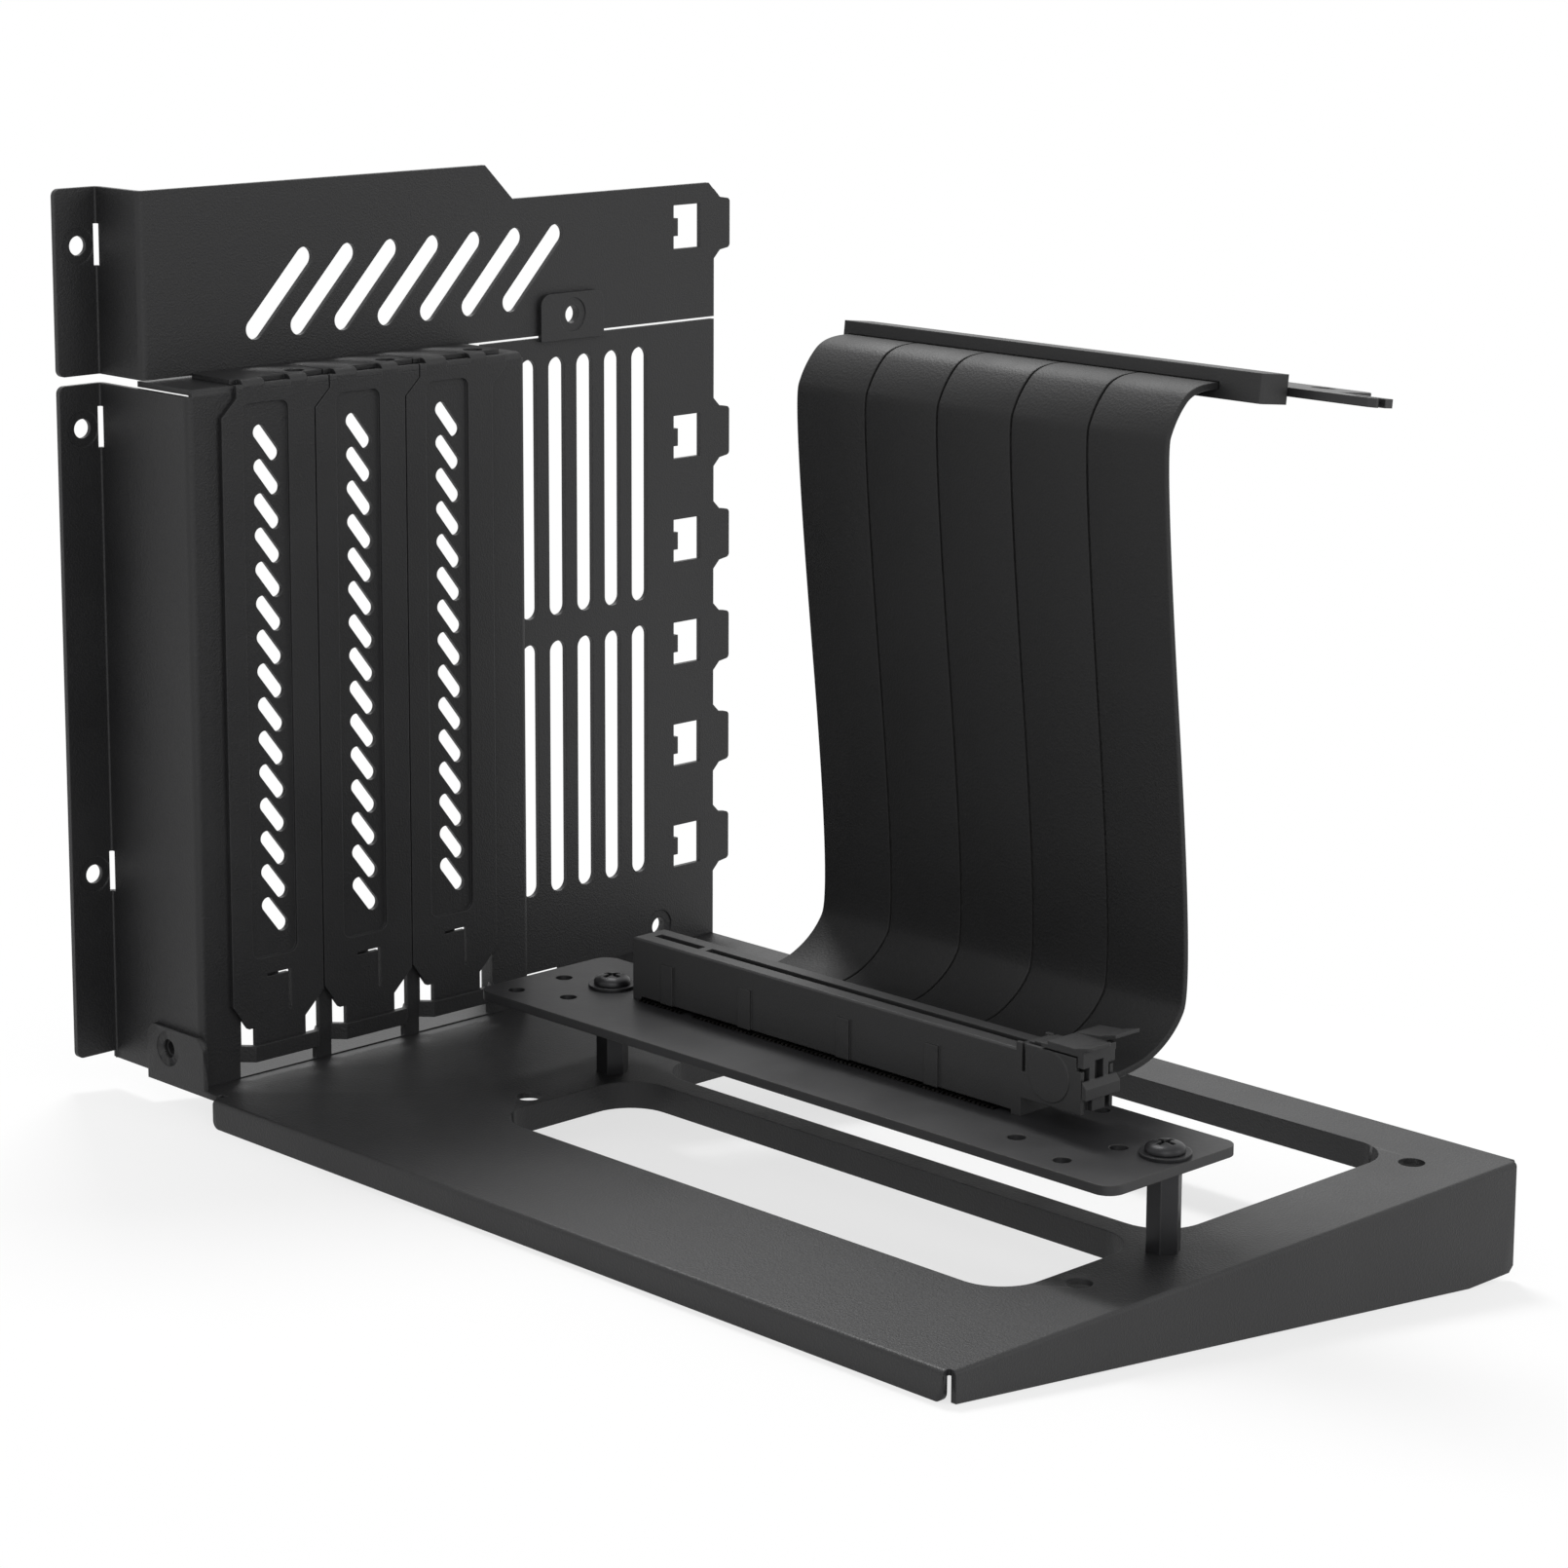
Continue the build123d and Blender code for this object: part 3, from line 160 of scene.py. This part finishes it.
powder_coat = coated(
    "powder_coat",
    dark=(0.0105, 0.0105, 0.0112),
    light=(0.0145, 0.0145, 0.0152),
    worn=(0.035, 0.035, 0.037),
    roughness=0.5,
    grain=0.6,
    grain_size=0.32,
    cells=True,
)
set_shader(powder_coat, "Specular IOR Level", coat_specular)
covers = [f"slot_cover_{n}" for n in (1, 2, 3)]
finish_nodes(powder_coat, "lower_wall", "upper_wall", "base_plate", *covers)


# The base plate is one punched and folded steel sheet. Its back flange is only a little deeper
# than the front one, so the floor shows through the rear opening. Its side flanges deepen
# towards the back in a straight line, and end in a flat heel.

back_flange_front = 54.5 * mm
back_flange_depth = 9.0 * mm
right_flange_x = 74.7 * mm
left_flange_x = -119.95 * mm

# The lower line of the side flanges: in the CAD node, and on the real sheet
drawn_front = -82.8 * mm
drawn_depth = 5.0 * mm
drawn_slope = 0.10108
front_y = -79.7 * mm
front_depth = 5.24 * mm
side_slope = 0.1129
heel_depth = 19.0 * mm
heel_y = front_y + (heel_depth - front_depth) / side_slope
heel_end = 54.3 * mm
heel_round = 2.6 * mm
low_share = 0.6
clearance = 0.1 * mm
low_clearance = 0.02 * mm
joined_within = 1e-6
cut_within = 1e-7
fold_angle = 32


def cut_faces(shape, faces, place, normal, drop=False):
    """Cuts faces along a plane, can drop what lies beyond it, and gives the edges of the cut."""
    parts = dict.fromkeys(v for f in faces for v in f.verts)
    parts.update(dict.fromkeys(e for f in faces for e in f.edges))
    cut = bmesh.ops.bisect_plane(
        shape,
        geom=[*parts, *faces],
        dist=cut_within,
        plane_co=place,
        plane_no=normal,
        clear_outer=drop,
    )
    return [part for part in cut["geom_cut"] if isinstance(part, bmesh.types.BMEdge)]


def on_side(co):
    """Whether a point lies in one of the two side flanges."""
    return co.x > right_flange_x or co.x < left_flange_x


def new_piece(name, shape, material, sharp_angle=40):
    """A mesh object from a bmesh, smooth where its faces meet gently, riding on the mount."""
    mesh = bpy.data.meshes.new(name)
    bmesh.ops.recalc_face_normals(shape, faces=shape.faces)
    shape.to_mesh(mesh)
    shape.free()
    piece = bpy.data.objects.new(name, mesh)
    bpy.context.scene.collection.objects.link(piece)
    mesh.materials.append(material)
    mesh.shade_smooth()
    mesh.set_sharp_from_angle(angle=math.radians(sharp_angle))
    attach(piece, "mount")
    return piece


shape = bmesh.new()
shape.from_mesh(bpy.data.objects["base_plate"].data)
bmesh.ops.remove_doubles(shape, verts=shape.verts, dist=joined_within)

# The back flange is cut to its depth, and closed there
flange = [f for f in shape.faces if min(v.co.y for v in f.verts) > back_flange_front]
edges = cut_faces(shape, flange, (0, 0, -back_flange_depth), (0, 0, -1), drop=True)
bmesh.ops.holes_fill(shape, edges=[edge for edge in edges if edge.is_boundary])

# The side flanges are divided where the heel begins
for side in (1, -1):
    flange = [f for f in shape.faces if all(on_side(v.co) and v.co.x * side > 0 for v in f.verts)]
    cut_faces(shape, flange, (0, heel_y, 0), (0, 1, 0))

# Their lower edges move to the real line, and the round at the back becomes a square heel
for vert in shape.verts:
    drawn_low = drawn_depth + drawn_slope * (vert.co.y - drawn_front)
    real_low = min(heel_depth, front_depth + side_slope * (vert.co.y - front_y))
    before_end = vert.co.y < heel_end + clearance
    if not (on_side(vert.co) and before_end and vert.co.z < -low_share * drawn_low):
        continue
    if vert.co.y <= heel_end - heel_round or vert.co.z <= -drawn_low + low_clearance:
        vert.co.z *= real_low / drawn_low
    elif vert.co.z + drawn_low > heel_end - vert.co.y:
        vert.co.y = heel_end
    else:
        vert.co.z = -real_low

base_sheet = new_piece("base_sheet", shape, powder_coat, fold_angle)
flat_faces = base_sheet.modifiers.new("flat_faces", "WEIGHTED_NORMAL")
flat_faces.weight = 100
flat_faces.keep_sharp = True
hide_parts("base_plate")


# Each slot cover has a small spring lug above its tongue. It is part of the same steel sheet,
# freed by an L shaped slit and pressed a little inwards, so that its root closes most of the
# upper slit from behind.

slot_count = 3
slot_pitch = 20.32 * mm
cover_back = -106.3 * mm
lug_left = -66.5 * mm
lug_reach = 3.7 * mm
lug_low = 11.4 * mm
lug_top = 18.5 * mm
lug_sheet = 0.5 * mm
lug_pressed = 0.25 * mm
lug_steps = 6


def skin(shape, rings):
    """Covers a row of equal rings of points with faces, and closes both ends."""
    for first, second in zip(rings, rings[1:]):
        for n in range(len(first)):
            m = (n + 1) % len(first)
            shape.faces.new((first[n], first[m], second[m], second[n]))
    shape.faces.new(rings[0])
    shape.faces.new(list(reversed(rings[-1])))


for number in range(slot_count):
    shape = bmesh.new()
    rings = []
    for step in range(lug_steps + 1):
        share = step / lug_steps
        y = lug_left + number * slot_pitch + lug_reach * share
        face = cover_back - lug_pressed * share ** 2
        back = face - lug_sheet
        corners = [(face, lug_low), (face, lug_top), (back, lug_top), (back, lug_low)]
        rings.append([shape.verts.new((x, y, z)) for x, z in corners])
    skin(shape, rings)
    new_piece(f"cover_lug_{number + 1}", shape, powder_coat)


# The notches in each cover's bend are shallow from the front: the face of the folded steel
# sheet runs on up to where the bend begins, with a small rounding at its edge.

cover_front = -105.4 * mm
first_head = -70.35 * mm
notches = [(0.0, 1.4), (6.1, 11.7), (15.4, 20.0)]
notch_foot = 122.1 * mm
sill_top = 123.2 * mm
sill_round = 0.2 * mm
round_share = 0.3
sill_profile = [
    (cover_front, notch_foot),
    (cover_front, sill_top - sill_round),
    (cover_front - round_share * sill_round, sill_top - round_share * sill_round),
    (cover_front - sill_round, sill_top),
    (cover_back, sill_top),
    (cover_back, notch_foot),
]

for number in range(slot_count):
    head = first_head + number * slot_pitch
    shape = bmesh.new()
    for notch in notches:
        skin(shape, [
            [shape.verts.new((x, head + side * mm, z)) for x, z in sill_profile] for side in notch
        ])
    new_piece(f"cover_sills_{number + 1}", shape, powder_coat)


# The riser board and the plug's card edge are circuit boards under black solder mask. The mask
# is printed and baked, smooth and slightly glossy over faint copper tracks.

board_mask = coated(
    "board_mask",
    dark=(0.008, 0.008, 0.009),
    light=(0.013, 0.013, 0.014),
    worn=(0.03, 0.028, 0.024),
    roughness=0.42,
    grain=0.18,
    grain_size=0.9,
)
finish_nodes(board_mask, "riser_board", "plug_blade")


# Standoffs, washers and screws are steel with a thin black oxide finish. It stays dark in the
# recesses and is rubbed grey on the edges that a driver touches. They hold the riser board
# above the base.

oxide_metal = 0.6
black_oxide = coated(
    "black_oxide",
    dark=(0.014, 0.014, 0.015),
    light=(0.024, 0.024, 0.026),
    worn=(0.09, 0.09, 0.09),
    roughness=0.36,
    grain=0.12,
    grain_size=0.25,
)
set_shader(black_oxide, "Metallic", oxide_metal)
finish_nodes(black_oxide, "standoffs", "washers", "board_screws", "base_screws")

# The screws on the riser board have a low domed head with a cross recess
screw_places = [(-64.95 * mm, -20.8 * mm), (62.9 * mm, -20.8 * mm)]
seat = 16.1 * mm
shank_radius = 1.45 * mm
shank_length = 8.9 * mm
shank_chamfer = 0.4 * mm
head_radius = 3.25 * mm
head_edge = 0.45 * mm
head_chamfer = 0.1 * mm
dome_height = 1.15 * mm
dome_fullness = 2.6
recess_reach = 1.75 * mm
recess_half = 0.42 * mm
recess_depth = 1.0 * mm
head_rings = 26
head_turns = 72

screw_profile = [
    (shank_radius - shank_chamfer, seat - shank_length),
    (shank_radius, seat - shank_length + shank_chamfer),
    (shank_radius, seat),
    (head_radius - head_chamfer, seat),
    (head_radius, seat + head_chamfer),
    (head_radius, seat + head_edge),
]
for ring in range(1, head_rings):
    share = 1 - ring / head_rings
    rise = dome_height * math.sqrt(1 - share ** dome_fullness)
    screw_profile.append((head_radius * share, seat + head_edge + rise))


def in_cross(across, along):
    """Whether a place on the head lies in one of the two arms of the recess."""
    first = abs(across) < recess_reach and abs(along) < recess_half
    second = abs(along) < recess_reach and abs(across) < recess_half
    return first or second


shape = bmesh.new()
for x, y in screw_places:
    rings = []
    for radius, z in screw_profile:
        ring = []
        for turn in range(head_turns):
            angle = 2 * math.pi * turn / head_turns
            across, along = radius * math.cos(angle), radius * math.sin(angle)
            sunk = recess_depth if z > seat + head_edge and in_cross(across, along) else 0.0
            ring.append(shape.verts.new((x + across, y + along, z - sunk)))
        rings.append(ring)
    skin(shape, rings)
screws = new_piece("domed_screws", shape, black_oxide)
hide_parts("board_screws")


# Connector body, latch and plug are injection moulded in glass-filled black nylon, which
# leaves a dry, slightly cloudy skin. The latch snaps into the end of the body.

moulded = coated(
    "moulded_nylon",
    dark=(0.009, 0.009, 0.0095),
    light=(0.014, 0.014, 0.0145),
    worn=(0.03, 0.03, 0.03),
    roughness=0.55,
    grain=0.25,
    grain_size=0.3,
)
finish_nodes(moulded, "connector_body", "latch", "plug_body")


# The contacts are stamped from phosphor bronze and gold plated in the slot. Their feet, soldered
# to the board, are painted a dark grey metal: partly their tin, partly painted shade at the
# connector's foot.

foot_top = 17.5 * mm
foot_fade = 0.5 * mm
tarnish_scale = 900.0
plate_gold = [(0.42, 0.27, 0.09), (0.6, 0.42, 0.17)]
shaded_tin_colours = [(0.02, 0.019, 0.018), (0.045, 0.042, 0.04)]
plate_roughness = (0.28, 0.42)

gold, link, shader, add = new_material("gold_plate")
place = add("ShaderNodeTexCoord").outputs["Object"]
tarnish = add("ShaderNodeTexNoise", Scale=tarnish_scale, Detail=3.0)
link(place, tarnish.inputs["Vector"])
spots = tarnish.outputs["Fac"]
plated = mix_colours(add, link, spread(add, link, spots, 0, 1), *plate_gold)
# The feet below foot_top are painted dark: partly their tin, partly painted shade at the
# connector's foot.
shaded_tin = mix_colours(add, link, spread(add, link, spots, 0, 1), *shaded_tin_colours)
height = add("ShaderNodeSeparateXYZ")
link(place, height.inputs["Vector"])
above = add("ShaderNodeMix", data_type="RGBA")
fade = spread(add, link, height.outputs["Z"], 0, 1, foot_top, foot_top + foot_fade)
link(fade, above.inputs["Factor"])
link(shaded_tin, above.inputs["A"])
link(plated, above.inputs["B"])
link(above.outputs["Result"], shader.inputs["Base Color"])
link(spread(add, link, spots, *plate_roughness), shader.inputs["Roughness"])
bump = add("ShaderNodeBump", Strength=0.1, Distance=0.02 * mm)
link(spots, bump.inputs["Height"])
link(bump.outputs["Normal"], shader.inputs["Normal"])
set_shader(gold, "Metallic", 1.0)
finish_nodes(gold, "contacts")


# Riser ribbon: five flat strips of shielded wires in a matt black jacket, soldered under the
# riser board, bent up and over, and moulded into the plug. The stiff shield holds the shape.

strip_count = 5
strip_gap = 0.4 * mm
strip_corner = 0.2 * mm
ribbon_width = 85.3 * mm
ribbon_thickness = 1.2 * mm
strip_width = (ribbon_width - (strip_count - 1) * strip_gap) / strip_count
strip_pitch = strip_width + strip_gap
ribbon_left = -57.0 * mm
ribbon_route = [
    (-17.0, 13.3),
    (10.0, 13.3),
    (21.5, 17.7),
    (26.5, 26.0),
    (15.9, 116.8),
    (18.8, 123.5),
    (24.0, 128.1),
    (31.45, 127.25),
]
jacket_specular = 0.35
# The facing sides of the strips get painted shade: near black, as the next strip shadows them.
seam_shade_reach = 0.08 * mm
seam_shade_colour = 0.001

jacket = coated(
    "ribbon_jacket",
    dark=(0.0095, 0.0095, 0.0098),
    light=(0.0125, 0.0125, 0.013),
    worn=(0.022, 0.022, 0.022),
    roughness=0.6,
    grain=0.6,
    grain_size=0.4,
    cells=True,
)
set_shader(jacket, "Specular IOR Level", jacket_specular)


def paint_seam_shade(material, left, pitch, gap, seams):
    """Paints near black shade on the cut sides of the strips where they face each other, where
    the next strip shadows them.
    """
    tree = material.node_tree
    add, link = node_adder(tree), tree.links.new
    colour = tree.nodes["Principled BSDF"].inputs["Base Color"]

    def step(operation, *values):
        node = add("ShaderNodeMath", operation=operation)
        for socket, value in zip(node.inputs, values):
            if hasattr(value, "links"):
                link(value, socket)
            else:
                socket.default_value = value
        return node.outputs["Value"]

    across = add("ShaderNodeSeparateXYZ")
    link(add("ShaderNodeTexCoord").outputs["Object"], across.inputs["Vector"])
    count = step("DIVIDE", step("SUBTRACT", across.outputs["X"], left - gap / 2), pitch)
    off_seam = step("ABSOLUTE", step("SUBTRACT", count, step("ROUND", count)))
    near = step("LESS_THAN", step("MULTIPLY", off_seam, pitch), gap / 2 + seam_shade_reach)
    off_middle = step("ABSOLUTE", step("SUBTRACT", count, (seams + 1) / 2))
    between = step("LESS_THAN", off_middle, seams / 2)
    mix = add("ShaderNodeMix", data_type="RGBA")
    link(step("MULTIPLY", near, between), mix.inputs["Factor"])
    link(colour.links[0].from_socket, mix.inputs["A"])
    mix.inputs["B"].default_value = (seam_shade_colour, seam_shade_colour, seam_shade_colour, 1)
    link(mix.outputs["Result"], colour)


# Painted shade in the seams between the strips.
paint_seam_shade(jacket, ribbon_left, strip_pitch, strip_gap, strip_count - 1)


def smooth_line(points):
    """The line of a NURBS spline through space, as points."""
    data = bpy.data.curves.new("route", "CURVE")
    data.dimensions = "3D"
    data.resolution_u = 16
    spline = data.splines.new("NURBS")
    spline.points.add(len(points) - 1)
    for point, place in zip(spline.points, points):
        point.co = (*place, 1)
    spline.order_u = 3
    spline.use_endpoint_u = True
    holder = bpy.data.objects.new("route", data)
    bpy.context.scene.collection.objects.link(holder)
    curve = holder.evaluated_get(bpy.context.evaluated_depsgraph_get())
    line = [v.co.copy() for v in bpy.data.meshes.new_from_object(curve).vertices]
    bpy.data.objects.remove(holder)
    return line


def flat_section(width, thickness, corner, steps=4):
    """The outline of a strip, as offsets across it and through it."""
    outline = []
    for across, through, first in [(1, 1, 0), (-1, 1, 90), (-1, -1, 180), (1, -1, 270)]:
        for step in range(steps + 1):
            angle = math.radians(first + 90 * step / steps)
            outline.append((
                across * (width / 2 - corner) + corner * math.cos(angle),
                through * (thickness / 2 - corner) + corner * math.sin(angle),
            ))
    return outline


strip_outline = flat_section(strip_width, ribbon_thickness, strip_corner)
for number in range(strip_count):
    middle = ribbon_left + strip_width / 2 + number * strip_pitch
    route = [(middle, y * mm, z * mm) for y, z in ribbon_route]
    line = smooth_line(route)
    shape = bmesh.new()
    rings = []
    for index, point in enumerate(line):
        ahead = line[min(index + 1, len(line) - 1)] - line[max(index - 1, 0)]
        through = Vector((1, 0, 0)).cross(ahead.normalized())
        rings.append([
            shape.verts.new(point + Vector((across, 0, 0)) + through * depth)
            for across, depth in strip_outline
        ])
    skin(shape, rings)
    strip = new_piece(f"ribbon_{number + 1}", shape, jacket)
    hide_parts(f"ribbon_strip_{number + 1}")


# Floor: a plain white surface. The mount's flanges are a wedge, so the floor is laid along
# their lower edges, as the mount stands on it. It fades to pure white away from the mount.

floor_reach = 6.0
floor_gap = 0.15 * mm
floor_white = (0.93, 0.93, 0.93, 1)
floor_roughness = 0.9
fade_from, fade_to = 0.08, 0.24
white_near, white_far = 0.7, 1.0


def sees_white(add, link):
    """Is 1 for the camera's rays and for mirrored or clear ones, which see plain white."""
    rays = add("ShaderNodeLightPath")
    mirrored = add("ShaderNodeMath", operation="MAXIMUM")
    link(rays.outputs["Is Glossy Ray"], mirrored.inputs[0])
    link(rays.outputs["Is Transmission Ray"], mirrored.inputs[1])
    white = add("ShaderNodeMath", operation="MAXIMUM")
    link(rays.outputs["Is Camera Ray"], white.inputs[0])
    link(mirrored.outputs["Value"], white.inputs[1])
    return white.outputs["Value"]


front_low = Vector((0, front_y, -front_depth))
back_low = Vector((0, heel_y, -heel_depth))
shape = bmesh.new()
bmesh.ops.create_grid(shape, x_segments=1, y_segments=1, size=floor_reach)
mesh = bpy.data.meshes.new("floor")
shape.to_mesh(mesh)
shape.free()
floor = bpy.data.objects.new("floor", mesh)
bpy.context.scene.collection.objects.link(floor)
floor.location = (front_low + back_low) / 2 - Vector((0, 0, floor_gap))
floor.rotation_euler = (-math.atan(side_slope), 0, 0)

floor_paint, link, shader, add = new_material("floor_white")
shader.inputs["Base Color"].default_value = floor_white
shader.inputs["Roughness"].default_value = floor_roughness
glow = add("ShaderNodeEmission", Strength=1.0)
away = add("ShaderNodeVectorMath", operation="LENGTH")
link(add("ShaderNodeTexCoord").outputs["Object"], away.inputs[0])
whiteness = spread(add, link, away.outputs["Value"], white_near, white_far, fade_from, fade_to)
share = add("ShaderNodeMath", operation="MULTIPLY")
link(whiteness, share.inputs[0])
link(sees_white(add, link), share.inputs[1])
blend = add("ShaderNodeMixShader")
link(share.outputs["Value"], blend.inputs["Fac"])
link(shader.outputs["BSDF"], blend.inputs[1])
link(glow.outputs["Emission"], blend.inputs[2])
surface = floor_paint.node_tree.nodes["Material Output"].inputs["Surface"]
link(blend.outputs["Shader"], surface)
mesh.materials.append(floor_paint)


# Light: a soft key from above and behind the wall, a broad fill from the camera's side, a weak
# lamp from the right and a pale surround. Seen straight or mirrored, the surround is white.

centre = Vector((-0.02, 0.0, 0.05))
surround_light = 0.45
surround_seen = 1.0


def soft_light(name, place, size, power):
    """A square area light that faces the middle of the mount."""
    data = bpy.data.lights.new(name, "AREA")
    data.shape = "SQUARE"
    data.size = size
    data.energy = power
    light = bpy.data.objects.new(name, data)
    bpy.context.scene.collection.objects.link(light)
    light.location = place
    light.rotation_euler = (centre - Vector(place)).to_track_quat("-Z", "Y").to_euler()


soft_light("key_light", place=(-0.75, 0.5, 1.35), size=0.4, power=17.0)
soft_light("fill_light", place=(1.3, -1.2, 0.9), size=1.4, power=10.5)
soft_light("side_light", place=(1.6, 0.9, 0.7), size=0.9, power=5.0)

world = bpy.data.worlds.new("surround")
bpy.context.scene.world = world
world.use_nodes = True
add, link = node_adder(world.node_tree), world.node_tree.links.new
background = world.node_tree.nodes["Background"]
background.inputs["Color"].default_value = (1, 1, 1, 1)
strength = spread(add, link, sees_white(add, link), surround_light, surround_seen, 0, 1)
link(strength, background.inputs["Strength"])


# Camera: the place, turn and lens that the straight edges of the photograph give. The frame is
# square, and the axis of the lens lies above and to the left of its middle.

photo_size = 1610
focal_pixels = 4270.65
axis_pixel = (763.04, 604.05)
sensor_width = 36.0
camera_place = (0.46219, -0.49657, 0.22202)
heading = math.radians(46.08)
down = math.radians(10.754)
roll = 0.00303

camera_data = bpy.data.cameras.new("camera")
camera_data.sensor_width = sensor_width
camera_data.lens = sensor_width * focal_pixels / photo_size
camera_data.shift_x = (photo_size / 2 - axis_pixel[0]) / photo_size
camera_data.shift_y = (axis_pixel[1] - photo_size / 2) / photo_size
camera_data.clip_end = 30.0
camera = bpy.data.objects.new("camera", camera_data)
bpy.context.scene.collection.objects.link(camera)
turned = Euler((math.pi / 2 - down, 0, heading)).to_matrix() @ Matrix.Rotation(roll, 3, "Z")
camera.matrix_world = Matrix.Translation(camera_place) @ turned.to_4x4()
bpy.context.scene.camera = camera
bpy.context.scene.view_settings.view_transform = "Standard"
